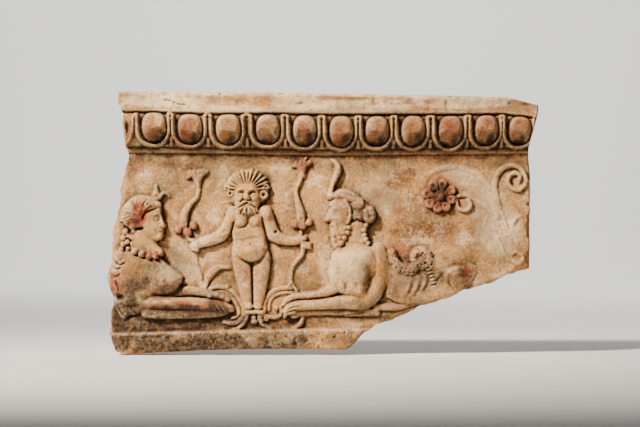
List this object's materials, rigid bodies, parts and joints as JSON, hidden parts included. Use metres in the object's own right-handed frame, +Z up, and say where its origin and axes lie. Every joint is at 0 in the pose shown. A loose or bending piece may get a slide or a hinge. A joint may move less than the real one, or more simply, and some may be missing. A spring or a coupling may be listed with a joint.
{
  "type": "terracotta relief plaque",
  "caption": "Broken moulded terracotta wall plaque: egg-and-dart cornice over a low relief of a dwarf god between two sphinxes with flowers and scrolls.",
  "frame": {"origin": "middle of the flat back, where the wall holds the plaque, halfway across its width and height", "axes": "+Z up, +X to the right as seen from the front, +Y into the wall; the relief faces -Y"},
  "size_m": [0.431, 0.0551, 0.2633],
  "materials": {
    "terracotta": "matt fired clay, worn, with traces of pink and ochre paint and brown dirt"
  },
  "bodies": {
    "root": {"plaque": "terracotta"}
  },
  "joints": []
}
